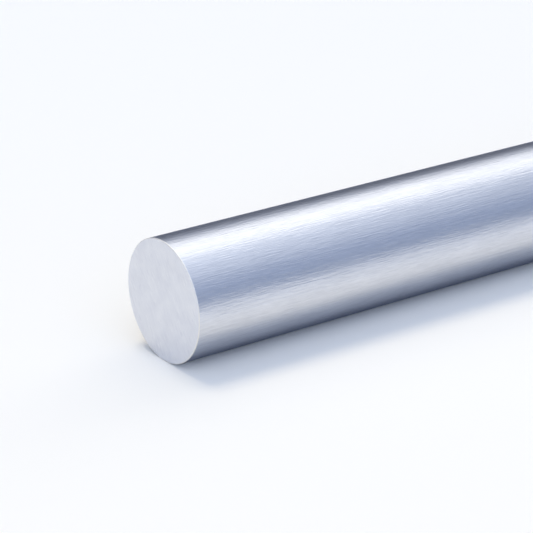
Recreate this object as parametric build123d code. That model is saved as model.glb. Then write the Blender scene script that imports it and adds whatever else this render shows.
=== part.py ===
from build123d import *
import os

# Solid round bar, cut to length and lying on its side.
# Frame: the origin is the centre of the near sawn face, +X runs along the bar's axis
# to the far sawn face, and +Z is up.

# Driving dimensions, in millimetres.
bar_diameter = 50.0  # stock diameter
bar_length = 500.0  # from one sawn face to the other
edge_break = 0.3  # 45 degree chamfer left by deburring each sawn edge


def drawn_stock():
    """The stock's round section, carried along +X for the bar's length."""
    with BuildPart() as stock:
        with BuildSketch(Plane.YZ):
            Circle(bar_diameter / 2)
        extrude(amount=bar_length)
    return stock.part


def deburred(stock):
    """The stock with the sharp round edge of each sawn face broken."""
    sawn_edges = stock.edges().filter_by(GeomType.CIRCLE)
    return chamfer(sawn_edges, edge_break)


round_bar = deburred(drawn_stock())

os.makedirs("parts", exist_ok=True)
export_step(round_bar, "parts/round_bar.step")
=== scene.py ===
from math import cos, pi, radians, sin

import bpy
import numpy as np
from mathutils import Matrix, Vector


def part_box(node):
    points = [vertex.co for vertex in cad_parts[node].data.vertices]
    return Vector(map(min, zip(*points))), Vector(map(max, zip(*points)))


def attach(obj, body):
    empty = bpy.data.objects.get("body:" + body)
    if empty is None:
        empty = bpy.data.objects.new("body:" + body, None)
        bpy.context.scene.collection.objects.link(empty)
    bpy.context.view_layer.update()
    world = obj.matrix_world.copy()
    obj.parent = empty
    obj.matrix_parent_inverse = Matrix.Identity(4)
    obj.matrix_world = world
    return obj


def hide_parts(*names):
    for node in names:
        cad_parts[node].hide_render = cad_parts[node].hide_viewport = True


# A length of drawn round bar with sawn ends, lying on a pale floor. Metres throughout, +X along the bar.

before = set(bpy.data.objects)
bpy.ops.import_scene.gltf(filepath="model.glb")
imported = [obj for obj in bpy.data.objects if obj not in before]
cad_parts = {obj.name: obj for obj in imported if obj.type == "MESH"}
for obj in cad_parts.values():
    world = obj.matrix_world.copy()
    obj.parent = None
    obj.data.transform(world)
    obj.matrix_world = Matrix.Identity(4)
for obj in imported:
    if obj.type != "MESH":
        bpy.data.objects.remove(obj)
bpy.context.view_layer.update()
barLow, barHigh = (Vector(corner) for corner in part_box("round_bar"))
barLength = barHigh.x - barLow.x
barRadius = (barHigh.y - barLow.y) / 2
floorHeight = -barRadius  # the bar's axis is the frame's X axis
print("frame: a bar", round(barLength, 4), "m long and", round(2 * barRadius, 4), "m across")

mm = 0.001
micron = 0.000001


def addNode(tree, kind, **settings):
    # one node, with its plain properties set by name
    node = tree.nodes.new(kind)
    for name, value in settings.items():
        setattr(node, name, value)
    return node


def setOrLink(tree, socket, value):
    # a socket takes a number, a colour or another node's output
    if isinstance(value, bpy.types.NodeSocket):
        tree.links.new(value, socket)
    else:
        socket.default_value = value


def maths(tree, operation, *values):
    # the operation applied to up to three values
    node = addNode(tree, "ShaderNodeMath", operation=operation)
    for socket, value in zip(node.inputs, values):
        setOrLink(tree, socket, value)
    return node.outputs[0]


def mapRange(tree, value, fromLow, fromHigh, toLow, toHigh, smooth=False):
    # the value carried from one range to another, held at both ends
    node = addNode(tree, "ShaderNodeMapRange", interpolation_type="SMOOTHSTEP" if smooth else "LINEAR")
    for name, number in zip(("Value", "From Min", "From Max", "To Min", "To Max"),
                            (value, fromLow, fromHigh, toLow, toHigh)):
        setOrLink(tree, node.inputs[name], number)
    return node.outputs["Result"]


def mixNumbers(tree, share, first, second):
    # a number between first and second, by share
    node = addNode(tree, "ShaderNodeMix", data_type="FLOAT")
    for index, value in ((0, share), (2, first), (3, second)):
        setOrLink(tree, node.inputs[index], value)
    return node.outputs[0]


def mixColours(tree, share, first, second, kind="MIX"):
    # a colour between first and second by share, or their product where kind is MULTIPLY
    node = addNode(tree, "ShaderNodeMix", data_type="RGBA", blend_type=kind)
    for index, value in ((0, share), (6, first), (7, second)):
        setOrLink(tree, node.inputs[index], value)
    return node.outputs[2]


def splitAxes(tree, vector):
    # a vector's X, Y and Z
    node = addNode(tree, "ShaderNodeSeparateXYZ")
    tree.links.new(vector, node.inputs[0])
    return node.outputs[0], node.outputs[1], node.outputs[2]


def joinAxes(tree, *values):
    # a vector of three values
    node = addNode(tree, "ShaderNodeCombineXYZ")
    for socket, value in zip(node.inputs, values):
        setOrLink(tree, socket, value)
    return node.outputs[0]


def noiseValue(tree, vector, scale, detail, roughness=0.5):
    # a cloudy value round one half
    node = addNode(tree, "ShaderNodeTexNoise")
    for name, value in (("Vector", vector), ("Scale", scale), ("Detail", detail), ("Roughness", roughness)):
        setOrLink(tree, node.inputs[name], value)
    return node.outputs[0]


def makeGroup(name, inputs, outputs):
    # an empty node group with named sockets: inputs are (name, kind, default), outputs are (name, kind)
    group = bpy.data.node_groups.new(name, "ShaderNodeTree")
    for title, kind, default in inputs:
        socket = group.interface.new_socket(title, in_out="INPUT", socket_type=kind)
        if default is not None:
            socket.default_value = default
    for title, kind in outputs:
        group.interface.new_socket(title, in_out="OUTPUT", socket_type=kind)
    return group, addNode(group, "NodeGroupInput"), addNode(group, "NodeGroupOutput")


def useGroup(tree, group, **values):
    # the group placed in a material with its own values; underscores stand for spaces
    node = addNode(tree, "ShaderNodeGroup", node_tree=group)
    for name, value in values.items():
        setOrLink(tree, node.inputs[name.replace("_", " ")], value)
    return node


roundBar = dict(
    seed=7,
    cellsAround=480,  # a multiple of four: a quarter of the rim lies on each side of an end's square grid
    cellsAlong=126,
    edgeBreak=0.3 * mm,  # width of the deburred edge
    edgeWander=0.18,  # share by which that width wanders round the rim
    edgeWaves=(2, 3, 5, 7, 11),  # waves of that wander in one turn
    edgeCrown=1.35,  # 1 is a straight chamfer, 2 a quarter round
    edgeSteps=4,
    creaseAngle=radians(18),
    drawLines=dict(count=420, depth=(1.5 * micron, 9.0 * micron), halfWidth=(0.30 * mm, 0.75 * mm),
                   run=(14 * mm, 150 * mm), fade=6 * mm, spread=0.0),
    sawLines=dict(count=110, depth=(0.8 * micron, 14 * micron), halfWidth=(0.35 * mm, 0.7 * mm),
                  run=(2 * mm, 12 * mm), fade=1 * mm, spread=0.12),
    sawLean=radians(33),  # the blade's path, turned from upright about the bar's axis
    mapMargin=0.004,
    mapSideTop=0.80,  # the side's sheet fills the map up to here, and the ends' discs lie above it
    mapDiscHalf=0.094,
    mapDiscs=((0.10, 0.90), (0.30, 0.90)),
    mapEdgeShare=0.008,  # share of the sheet's height that each deburred edge takes
)


def scratchDepths(lines, rng, across, along, acrossSpan, alongSpan, wrap=None):
    # Depth of many straight scratches at the points (across, along). One scratch is its depth times
    # a bell curve across it times a soft-ended box along it, and the scratches are added up. Each one
    # leans from the common direction by a normal draw times the spread.
    depths = np.zeros(np.broadcast_shapes(across.shape, along.shape))
    for _ in range(lines["count"]):
        middle = rng.uniform(*acrossSpan)
        centre = rng.uniform(*alongSpan)
        run = lines["run"][0] * (lines["run"][1] / lines["run"][0]) ** rng.random()
        depth = lines["depth"][0] + (lines["depth"][1] - lines["depth"][0]) * rng.random() ** 2
        halfWidth = rng.uniform(*lines["halfWidth"])
        slant = lines["spread"] * rng.normal()
        offset = across - middle + slant * (along - centre)
        if wrap:
            offset = (offset + wrap / 2) % wrap - wrap / 2
        bell = np.exp(-((offset / halfWidth) ** 2))
        inside = (run / 2 - np.abs(along - centre)) / lines["fade"]
        depths += depth * bell * np.clip(inside + 0.5, 0, 1)
    return depths


def edgeWidths(rng, angles):
    # Width of the deburred edge at each angle: the usual width times one plus a sum of cosines, scaled
    # so that its largest swing is the wander.
    swing = sum(rng.normal() * np.cos(waves * angles + rng.uniform(0, 2 * pi))
                for waves in roundBar["edgeWaves"])
    return roundBar["edgeBreak"] * (1 + roundBar["edgeWander"] * swing / np.abs(swing).max())


def barRings(edgeWidth):
    # Distance along the bar and radius of every ring, for each angle. Over an edge the radius grows evenly
    # from the end's rim to the full radius, while the distance is the edge's width times
    # 1 - (1 - share^crown)^(1/crown). The rings between the edges have the full radius.
    share = np.linspace(0, 1, roundBar["edgeSteps"] + 1)[:, None]
    crown = roundBar["edgeCrown"]
    edgeX = edgeWidth * (1 - (1 - share ** crown) ** (1 / crown))
    edgeRadius = barRadius - edgeWidth * (1 - share)
    alongShare = np.linspace(0, 1, roundBar["cellsAlong"] + 1)[1:-1, None]
    sideX = edgeX[-1] + alongShare * (barLength - 2 * edgeX[-1])
    ringX = np.concatenate((edgeX, sideX, barLength - edgeX[::-1]))
    ringRadius = np.concatenate((edgeRadius, np.full_like(sideX, barRadius), edgeRadius[::-1]))
    return ringX, ringRadius


def discGrid(cells):
    # Points of a unit disc from a square grid: the larger of |a| and |b| is the radius, and the ratio
    # of the smaller to the larger is the share of an eighth turn from the nearer axis.
    a, b = np.meshgrid(np.linspace(-1, 1, cells + 1), np.linspace(-1, 1, cells + 1), indexing="ij")
    wide = np.abs(a) >= np.abs(b)
    radius = np.where(wide, a, b)
    safe = np.where(radius == 0, 1, radius)
    angle = np.where(wide, pi / 4 * b / safe, pi / 2 - pi / 4 * a / safe)
    angle = angle - pi / 4  # the grid's first corner comes to the bottom of the bar
    return radius * np.cos(angle), radius * np.sin(angle)


def gridRim(cells):
    # the square grid's border, counter-clockwise from the corner a = 1, b = -1
    index = np.arange((cells + 1) ** 2).reshape(cells + 1, cells + 1)
    return np.concatenate((index[-1, :-1], index[:0:-1, -1], index[0, :0:-1], index[:-1, 0]))


def gridQuads(grid):
    # the four corners of every cell in a grid of point numbers
    return np.stack((grid[:-1, :-1], grid[:-1, 1:], grid[1:, 1:], grid[1:, :-1]), 2).reshape(-1, 4)


def endFace(rng, x, inward, faceRadius):
    # A disc grid standing at x, each point pushed into the bar by the depth of the saw lines there.
    discY, discZ = discGrid(roundBar["cellsAround"] // 4)
    y, z = discY * faceRadius, discZ * faceRadius
    lean = roundBar["sawLean"]
    across = y * cos(lean) - z * sin(lean)
    along = y * sin(lean) + z * cos(lean)
    span = (-barRadius, barRadius)
    cut = scratchDepths(roundBar["sawLines"], rng, across, along, span, span)
    return np.stack((x + inward * cut, y, z), 2).reshape(-1, 3)


def makeRoundBar():
    # Rings of points carried along +X, each at its radius less the depth of the draw lines. A disc grid
    # closes each end, and its border is the first or the last ring.
    rng = np.random.default_rng(roundBar["seed"])
    around = roundBar["cellsAround"]
    angles = -pi / 2 + np.arange(around) * 2 * pi / around
    ringX, ringRadius = barRings(edgeWidths(rng, angles))
    side = slice(roundBar["edgeSteps"], len(ringX) - roundBar["edgeSteps"])
    girth = 2 * pi * barRadius
    ringRadius[side] -= scratchDepths(roundBar["drawLines"], rng, (angles + pi / 2) * barRadius,
                                      ringX[side].mean(1)[:, None], (0, girth), (0, barLength), wrap=girth)
    rings = np.stack((ringX, ringRadius * np.cos(angles), ringRadius * np.sin(angles)), 2)

    near = endFace(rng, 0.0, 1.0, ringRadius[0].min())
    far = endFace(rng, barLength, -1.0, ringRadius[0].min())
    rim = gridRim(around // 4)
    near[rim], far[rim] = rings[0], rings[-1]
    inner = rings[1:-1].reshape(-1, 3)
    points = np.concatenate((near, inner, far))

    farStart = len(near) + len(inner)
    ringIndex = np.concatenate((rim[None], len(near) + np.arange(len(inner)).reshape(-1, around),
                                farStart + rim[None]))
    closed = np.concatenate((ringIndex, ringIndex[:, :1]), axis=1)
    cells = gridQuads(np.arange(len(near)).reshape(around // 4 + 1, -1))
    sideQuads = gridQuads(closed)
    quads = np.concatenate((cells, sideQuads, farStart + cells[:, ::-1]))
    sawn = np.repeat((1, 0, 1), (len(cells), len(sideQuads), len(cells)))
    print("bar:", len(points), "points and", len(quads), "quads")
    return points, quads, sawn, layOutMap(cells)


def layOutMap(cells):
    # Each quad corner's place on the piece's own map. The side is one sheet with the girth across it and
    # the length up it, and each end is a disc above the sheet.
    around, steps = roundBar["cellsAround"], roundBar["edgeSteps"]
    margin, edgeShare = roundBar["mapMargin"], roundBar["mapEdgeShare"]
    disc = np.stack(discGrid(around // 4), 2).reshape(-1, 2) * roundBar["mapDiscHalf"]
    near, far = (disc + middle for middle in roundBar["mapDiscs"])
    nearEdge = np.linspace(0, edgeShare, steps + 1)
    side = edgeShare + np.linspace(0, 1, roundBar["cellsAlong"] + 1)[1:-1] * (1 - 2 * edgeShare)
    farEdge = np.linspace(1 - edgeShare, 1, steps + 1)
    up = margin + np.concatenate((nearEdge, side, farEdge)) * (roundBar["mapSideTop"] - margin)
    across = np.linspace(margin, 1 - margin, around + 1)
    sheet = np.stack(np.meshgrid(up, across, indexing="ij")[::-1], 2).reshape(-1, 2)
    sheetCells = gridQuads(np.arange(len(sheet)).reshape(len(up), -1))
    return np.concatenate((near[cells], sheet[sheetCells], far[cells[:, ::-1]])).reshape(-1, 2)


def makeBarObject():
    # The bar's points and quads as one smooth mesh, sharp where two faces meet at more than the crease
    # angle, with the sawn quads on the second material.
    points, quads, sawn, places = makeRoundBar()
    mesh = bpy.data.meshes.new("roundBar")
    mesh.from_pydata(points.tolist(), [], quads.tolist())
    mesh.polygons.foreach_set("material_index", sawn)
    mesh.polygons.foreach_set("use_smooth", np.ones(len(quads), bool))
    mesh.uv_layers.new(name="OFBake").uv.foreach_set("vector", places.astype(np.float32).ravel())
    mesh.set_sharp_from_angle(angle=roundBar["creaseAngle"])
    mesh.update()
    piece = bpy.data.objects.new("roundBar", mesh)
    bpy.context.collection.objects.link(piece)
    return piece


bar = makeBarObject()

noiseMiddle = 0.5  # the value that every noise lies round

grainNoise = dict(
    detail=0.5,  # little finer than the lines themselves
    roughness=0.6,
    shifts=(0.0, 3.7, 9.1),  # set the fine lines, the broad lines and the nicks apart
    shadeRange=(0.32, 0.68),  # heights that give the darkest and the lightest shade
    nickFrom=0.17,  # a nick starts where its noise is this far from the middle, and is full at nickFull
    nickFull=0.24,
)


def makeCutGrain():
    # Fine lines left by a die or a blade. The vector's first axis runs along the lines, and each
    # noise is stretched by its run over its spacing. The height is the fine and the broad noise mixed.
    # The nicks are the far ends of a third noise, light above its middle and dark below it, and the shade
    # is the height spread over the shade range plus the nicks times their share.
    group, given, made = makeGroup("cutGrain", (
        ("Vector", "NodeSocketVector", None),
        ("Fine Spacing", "NodeSocketFloat", 0.5 * mm),
        ("Fine Run", "NodeSocketFloat", 12 * mm),
        ("Broad Spacing", "NodeSocketFloat", 1.6 * mm),
        ("Broad Run", "NodeSocketFloat", 45 * mm),
        ("Broad Share", "NodeSocketFloat", 0.4),
        ("Nick Spacing", "NodeSocketFloat", 0.8 * mm),
        ("Nick Run", "NodeSocketFloat", 4 * mm),
        ("Nick Share", "NodeSocketFloat", 0.0),
    ), (("Height", "NodeSocketFloat"), ("Shade", "NodeSocketFloat")))
    lines = []
    for size, shift in zip(("Fine", "Broad", "Nick"), grainNoise["shifts"]):
        across = maths(group, "DIVIDE", 1.0, given.outputs[size + " Spacing"])
        along = maths(group, "DIVIDE", 1.0, given.outputs[size + " Run"])
        stretch = joinAxes(group, along, across, across)
        stretched = addNode(group, "ShaderNodeVectorMath", operation="MULTIPLY_ADD")
        for socket, value in zip(stretched.inputs, (given.outputs["Vector"], stretch, (shift, shift, shift))):
            setOrLink(group, socket, value)
        lines.append(noiseValue(group, stretched.outputs[0], scale=1.0, detail=grainNoise["detail"],
                                roughness=grainNoise["roughness"]))
    fine, broad, nick = lines
    height = mixNumbers(group, given.outputs["Broad Share"], fine, broad)
    start, full = grainNoise["nickFrom"], grainNoise["nickFull"]
    light = mapRange(group, nick, noiseMiddle + start, noiseMiddle + full, 0.0, 1.0, smooth=True)
    dark = mapRange(group, nick, noiseMiddle - full, noiseMiddle - start, 1.0, 0.0, smooth=True)
    nicks = maths(group, "SUBTRACT", light, dark)
    shade = mapRange(group, height, *grainNoise["shadeRange"], 0.0, 1.0)
    shade = maths(group, "MULTIPLY_ADD", nicks, given.outputs["Nick Share"], shade)
    group.links.new(height, made.inputs["Height"])
    group.links.new(shade, made.inputs["Shade"])
    return group


edgeWearAndHighlightNoise = dict(
    scale=260.0,  # clouds of the uneven reach, in one metre
    detail=2.0,
    leastReach=0.5,  # added to the noise before it multiplies the width
    fullShare=0.5,  # share of the reach that is worn all through
)


def makeEdgeWearAndHighlight():
    # How near a point is to a sawn rim: its distance from the end plus its depth under the outside,
    # over a reach that one noise makes uneven. The mask falls from one to zero over that ratio. In the
    # materials it makes the rim rougher and lighter, and the lighter colour is partly wear and partly a
    # painted highlight of the deburred edge.
    group, given, made = makeGroup("edgeWearAndHighlight", (
        ("Vector", "NodeSocketVector", None),
        ("Length", "NodeSocketFloat", barLength),
        ("Radius", "NodeSocketFloat", barRadius),
        ("Width", "NodeSocketFloat", 0.8 * mm),
    ), (("Mask", "NodeSocketFloat"),))
    x, y, z = splitAxes(group, given.outputs["Vector"])
    fromFar = maths(group, "SUBTRACT", given.outputs["Length"], x)
    fromEnd = maths(group, "MINIMUM", maths(group, "ABSOLUTE", x), maths(group, "ABSOLUTE", fromFar))
    squares = maths(group, "ADD", maths(group, "MULTIPLY", y, y), maths(group, "MULTIPLY", z, z))
    under = maths(group, "SUBTRACT", given.outputs["Radius"], maths(group, "SQRT", squares))
    away = maths(group, "ADD", fromEnd, maths(group, "MAXIMUM", under, 0.0))
    patchy = noiseValue(group, given.outputs["Vector"], edgeWearAndHighlightNoise["scale"], edgeWearAndHighlightNoise["detail"])
    uneven = maths(group, "ADD", edgeWearAndHighlightNoise["leastReach"], patchy)
    ratio = maths(group, "DIVIDE", away, maths(group, "MULTIPLY", given.outputs["Width"], uneven))
    mask = mapRange(group, ratio, edgeWearAndHighlightNoise["fullShare"], 1.0, 1.0, 0.0, smooth=True)
    group.links.new(mask, made.inputs["Mask"])
    return group


mottleNoise = dict(
    detail=3.0,
    mottleRange=(0.3, 0.7),  # noise values that give the darkest and the lightest mottle
)


def makeSoftMottle():
    # Broad, faint unevenness of the surface: one slow noise at a scale of one over the size, spread over
    # the mottle range.
    group, given, made = makeGroup("softMottle", (
        ("Vector", "NodeSocketVector", None),
        ("Size", "NodeSocketFloat", 12 * mm),
    ), (("Mottle", "NodeSocketFloat"),))
    scale = maths(group, "DIVIDE", 1.0, given.outputs["Size"])
    clouds = noiseValue(group, given.outputs["Vector"], scale, mottleNoise["detail"])
    group.links.new(mapRange(group, clouds, *mottleNoise["mottleRange"], 0.0, 1.0), made.inputs["Mottle"])
    return group


cutGrain = makeCutGrain()
edgeWearAndHighlight = makeEdgeWearAndHighlight()
softMottle = makeSoftMottle()
print("patterns: cut grain, edge wear and soft mottle")

drawnFinish = dict(
    darkColour=(0.587, 0.62, 0.70, 1),
    lightColour=(0.693, 0.726, 0.807, 1),
    # lighter rim colour: partly wear, partly a painted highlight of the deburred edge
    rimWearAndHighlightColour=(0.86, 0.85, 0.835, 1),
    edgeTint=(0.06, 0.08, 0.16, 1),  # colour at a grazing angle
    roughness=(0.28, 0.315),  # where the shade is lightest, and where it is darkest
    wornRoughness=0.6,
    anisotropy=0.35,
    turn=(0.0, 0.0, 0.0),
    linesStand=False,  # the lines run along the bar
    grain=dict(Fine_Spacing=0.4 * mm, Fine_Run=4 * mm, Broad_Spacing=0.65 * mm, Broad_Run=20 * mm,
               Broad_Share=0.45),
    mottleSize=14 * mm,
    mottleShare=0.25,
    wearAndHighlightWidth=0.55 * mm,
    bumpDepth=130 * micron,
)
sawnFinish = dict(
    darkColour=(0.77, 0.79, 0.855, 1),
    lightColour=(0.84, 0.86, 0.91, 1),
    # lighter rim colour: partly wear, partly a painted highlight of the deburred edge
    rimWearAndHighlightColour=(0.87, 0.88, 0.91, 1),
    edgeTint=(0.5, 0.5, 0.5, 1),
    roughness=(0.42, 0.50),
    wornRoughness=0.6,
    anisotropy=0.0,
    turn=(roundBar["sawLean"], 0.0, 0.0),
    linesStand=True,  # the lines run up the face
    grain=dict(Fine_Spacing=0.45 * mm, Fine_Run=5 * mm, Broad_Spacing=1.8 * mm, Broad_Run=12 * mm,
               Broad_Share=0.35, Nick_Spacing=0.9 * mm, Nick_Run=4 * mm, Nick_Share=1.6),
    mottleSize=6 * mm,
    mottleShare=0.55,
    wearAndHighlightWidth=0.5 * mm,
    bumpDepth=8 * micron,
)


def alongFirst(tree, place, turn, linesStand):
    # Object coordinates turned about the bar's axis. Where the lines stand, X and Z change places, so
    # that the lines always run along the first axis.
    turned = addNode(tree, "ShaderNodeMapping")
    tree.links.new(place, turned.inputs["Vector"])
    turned.inputs["Rotation"].default_value = turn
    if not linesStand:
        return turned.outputs[0]
    x, y, z = splitAxes(tree, turned.outputs[0])
    return joinAxes(tree, z, y, x)


def makeMetal(name, finish):
    # Colour and roughness follow the grain's shade mixed with the mottle, the worn rim goes over both,
    # its lighter colour partly wear and partly a painted highlight of the deburred edge, and the bump
    # follows the grain's height.
    material = bpy.data.materials.new(name)
    material.use_nodes = True
    tree = material.node_tree
    shader = tree.nodes["Principled BSDF"]
    place = addNode(tree, "ShaderNodeTexCoord").outputs["Object"]
    lined = alongFirst(tree, place, finish["turn"], finish["linesStand"])
    grain = useGroup(tree, cutGrain, Vector=lined, **finish["grain"])
    mottle = useGroup(tree, softMottle, Vector=place, Size=finish["mottleSize"]).outputs["Mottle"]
    rimWearAndHighlight = useGroup(tree, edgeWearAndHighlight, Vector=place, Width=finish["wearAndHighlightWidth"]).outputs["Mask"]
    tone = mixNumbers(tree, finish["mottleShare"], grain.outputs["Shade"], mottle)
    plain = mixColours(tree, tone, finish["darkColour"], finish["lightColour"])
    # the rim's lighter colour is partly wear and partly a painted highlight of the deburred edge
    tree.links.new(mixColours(tree, rimWearAndHighlight, plain, finish["rimWearAndHighlightColour"]), shader.inputs["Base Color"])
    smooth, coarse = finish["roughness"]
    cut = mapRange(tree, tone, 0.0, 1.0, coarse, smooth)
    tree.links.new(mapRange(tree, rimWearAndHighlight, 0.0, 1.0, cut, finish["wornRoughness"]), shader.inputs["Roughness"])
    bump = addNode(tree, "ShaderNodeBump")
    bump.inputs["Strength"].default_value = 1.0
    bump.inputs["Distance"].default_value = finish["bumpDepth"]
    tree.links.new(grain.outputs["Height"], bump.inputs["Height"])
    tree.links.new(bump.outputs[0], shader.inputs["Normal"])
    shader.inputs["Metallic"].default_value = 1.0
    shader.inputs["Specular Tint"].default_value = finish["edgeTint"]
    shader.inputs["Anisotropic"].default_value = finish["anisotropy"]
    if finish["anisotropy"]:
        tangent = addNode(tree, "ShaderNodeTangent", direction_type="UV_MAP", uv_map="OFBake")
        tree.links.new(tangent.outputs[0], shader.inputs["Tangent"])
    return material


bar.data.materials.append(makeMetal("drawnSide", drawnFinish))
bar.data.materials.append(makeMetal("sawnFace", sawnFinish))
print("materials: drawn side and sawn ends")

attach(bar, "root")
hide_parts("round_bar")

paleFloor = dict(
    size=40.0,
    colour=(0.905, 0.862, 0.775, 1),
    roughness=1.0,
    gloss=0.0,
    chalk=1.0,  # a matt, chalky surface with a short nap
    nap=1.0,
    napRoughness=0.8,
)


def makeFloor():
    # one square, level with the bar's lowest line
    half = paleFloor["size"] / 2
    mesh = bpy.data.meshes.new("floor")
    corners = [(-half, -half, floorHeight), (half, -half, floorHeight), (half, half, floorHeight),
               (-half, half, floorHeight)]
    mesh.from_pydata(corners, [], [(0, 1, 2, 3)])
    floor = bpy.data.objects.new("floor", mesh)
    bpy.context.collection.objects.link(floor)
    material = bpy.data.materials.new("paleFloor")
    material.use_nodes = True
    shader = material.node_tree.nodes["Principled BSDF"]
    shader.inputs["Base Color"].default_value = paleFloor["colour"]
    shader.inputs["Roughness"].default_value = paleFloor["roughness"]
    shader.inputs["Diffuse Roughness"].default_value = paleFloor["chalk"]
    shader.inputs["Specular IOR Level"].default_value = paleFloor["gloss"]
    shader.inputs["Sheen Weight"].default_value = paleFloor["nap"]
    shader.inputs["Sheen Roughness"].default_value = paleFloor["napRoughness"]
    mesh.materials.append(material)
    print("floor:", paleFloor["size"], "m square")


studioWorld = dict(
    level=1.1,
    # canopy colour against a direction's height, from the horizon to overhead
    canopy=((0.00, (0.23, 0.28, 0.42, 1)), (0.12, (0.29, 0.35, 0.475, 1)), (0.27, (0.345, 0.415, 0.56, 1)),
            (0.42, (0.36, 0.425, 0.59, 1)), (0.63, (0.60, 0.655, 0.765, 1)), (0.79, (0.83, 0.87, 0.975, 1)),
            (0.88, (0.92, 0.98, 1.08, 1)), (1.00, (0.78, 0.93, 1.25, 1))),
    # canopy tint against X of the direction, carried from -1..1 to 0..1
    reach=((0.00, (2.00, 1.85, 1.65, 1)), (0.10, (1.22, 1.22, 1.18, 1)), (0.24, (0.62, 0.67, 0.77, 1)),
           (0.45, (0.38, 0.46, 0.58, 1)), (0.66, (1.00, 1.00, 1.00, 1)), (0.76, (1.00, 1.00, 1.00, 1)),
           (0.82, (0.92, 0.92, 0.92, 1)), (0.92, (0.80, 0.80, 0.80, 1)), (1.00, (0.70, 0.70, 0.70, 1))),
    # the canopy darkens behind the bar, between two angles about its axis and down to a share
    backTurn=(radians(142), radians(160)),
    backShare=0.35,
    # a long soft box over the back of the bar, as angles about the bar's axis from the front horizon
    boxTurn=(radians(94.5), radians(117)),
    boxSoft=radians(4),
    boxReach=(0.0, 0.3),  # X of the direction over which it comes in
    boxFlare=0.7,  # radians by which its rear edge turns out for each unit of X
    boxLight=(1.61, 1.57, 1.49, 1),
)


def makeRamp(tree, value, stops):
    # a run of colours between the stops, read at the value
    node = addNode(tree, "ShaderNodeValToRGB")
    while len(node.color_ramp.elements) < len(stops):
        node.color_ramp.elements.new(0.5)  # each stop gets its own position below
    for element, (position, colour) in zip(node.color_ramp.elements, stops):
        element.position = position
        element.color = colour
    tree.links.new(value, node.inputs[0])
    return node.outputs[0]


def makeWorld():
    # The canopy is its height colour times its reach along X times its darkening at the back, and the
    # soft box is laid over it by the product of its three soft edges.
    world = bpy.data.worlds.new("studio")
    bpy.context.scene.world = world
    world.use_nodes = True
    tree = world.node_tree
    tree.nodes.clear()
    x, y, z = splitAxes(tree, addNode(tree, "ShaderNodeTexCoord").outputs["Generated"])
    turn = maths(tree, "ARCTAN2", z, maths(tree, "MULTIPLY", y, -1.0))
    reach = makeRamp(tree, mapRange(tree, x, -1.0, 1.0, 0.0, 1.0), studioWorld["reach"])
    back = mapRange(tree, turn, *studioWorld["backTurn"], 1.0, studioWorld["backShare"], smooth=True)
    canopy = mixColours(tree, 1.0, makeRamp(tree, z, studioWorld["canopy"]), reach, "MULTIPLY")
    canopy = mixColours(tree, 1.0, canopy, back, "MULTIPLY")
    (front, rear), soft = studioWorld["boxTurn"], studioWorld["boxSoft"]
    flared = maths(tree, "MULTIPLY_ADD", x, -studioWorld["boxFlare"], turn)
    box = mapRange(tree, turn, front - soft, front + soft, 0.0, 1.0, smooth=True)
    for edge in (mapRange(tree, flared, rear - soft, rear + soft, 1.0, 0.0, smooth=True),
                 mapRange(tree, x, *studioWorld["boxReach"], 0.0, 1.0, smooth=True)):
        box = maths(tree, "MULTIPLY", box, edge)
    light = addNode(tree, "ShaderNodeBackground")
    tree.links.new(mixColours(tree, box, canopy, studioWorld["boxLight"]), light.inputs["Color"])
    light.inputs["Strength"].default_value = studioWorld["level"]
    out = addNode(tree, "ShaderNodeOutputWorld")
    tree.links.new(light.outputs[0], out.inputs["Surface"])
    print("world: canopy and soft box")


keyLight = dict(  # warm, from behind and almost overhead
    towards=(0.0, 0.29, 0.957),
    angle=radians(22),
    strength=1.5,
    colour=(1.0, 0.885, 0.645),
)
fillLight = dict(  # cool and very soft, from low in front
    towards=(-0.48, -0.74, 0.47),
    angle=radians(80),
    strength=0.84,
    colour=(0.69, 0.79, 1.0),
)


def makeLamp(name, spec):
    # a sun whose light comes from the direction given as towards
    lamp = bpy.data.lights.new(name, "SUN")
    lamp.energy = spec["strength"]
    lamp.angle = spec["angle"]
    lamp.color = spec["colour"]
    lampObject = bpy.data.objects.new(name, lamp)
    bpy.context.collection.objects.link(lampObject)
    lampObject.rotation_euler = Vector(spec["towards"]).to_track_quat("Z", "Y").to_euler()
    print("lamp:", name)


cameraSetup = dict(
    azimuth=radians(-35.45),  # from straight in front, towards the near end
    elevation=radians(22.11),
    distance=0.8895,
    lens=156.3,
    sensor=36,
    aim=Vector((0.0354, -0.0190, 0.0124)),
    farthest=200,
)


def makeCamera():
    # the camera stands at its distance from the aim point, back along its azimuth and elevation
    spec = cameraSetup
    level = cos(spec["elevation"])
    back = Vector((sin(spec["azimuth"]) * level, -cos(spec["azimuth"]) * level, sin(spec["elevation"])))
    lens = bpy.data.cameras.new("camera")
    lens.lens = spec["lens"]
    lens.sensor_width = spec["sensor"]
    lens.clip_end = spec["farthest"]
    camera = bpy.data.objects.new("camera", lens)
    bpy.context.collection.objects.link(camera)
    camera.location = spec["aim"] + back * spec["distance"]
    camera.rotation_euler = back.to_track_quat("Z", "Y").to_euler()
    bpy.context.scene.camera = camera
    print("camera:", spec["lens"], "mm lens")


makeFloor()
makeWorld()
makeLamp("keyLight", keyLight)
makeLamp("fillLight", fillLight)
makeCamera()
bpy.context.scene.view_settings.view_transform = "Standard"
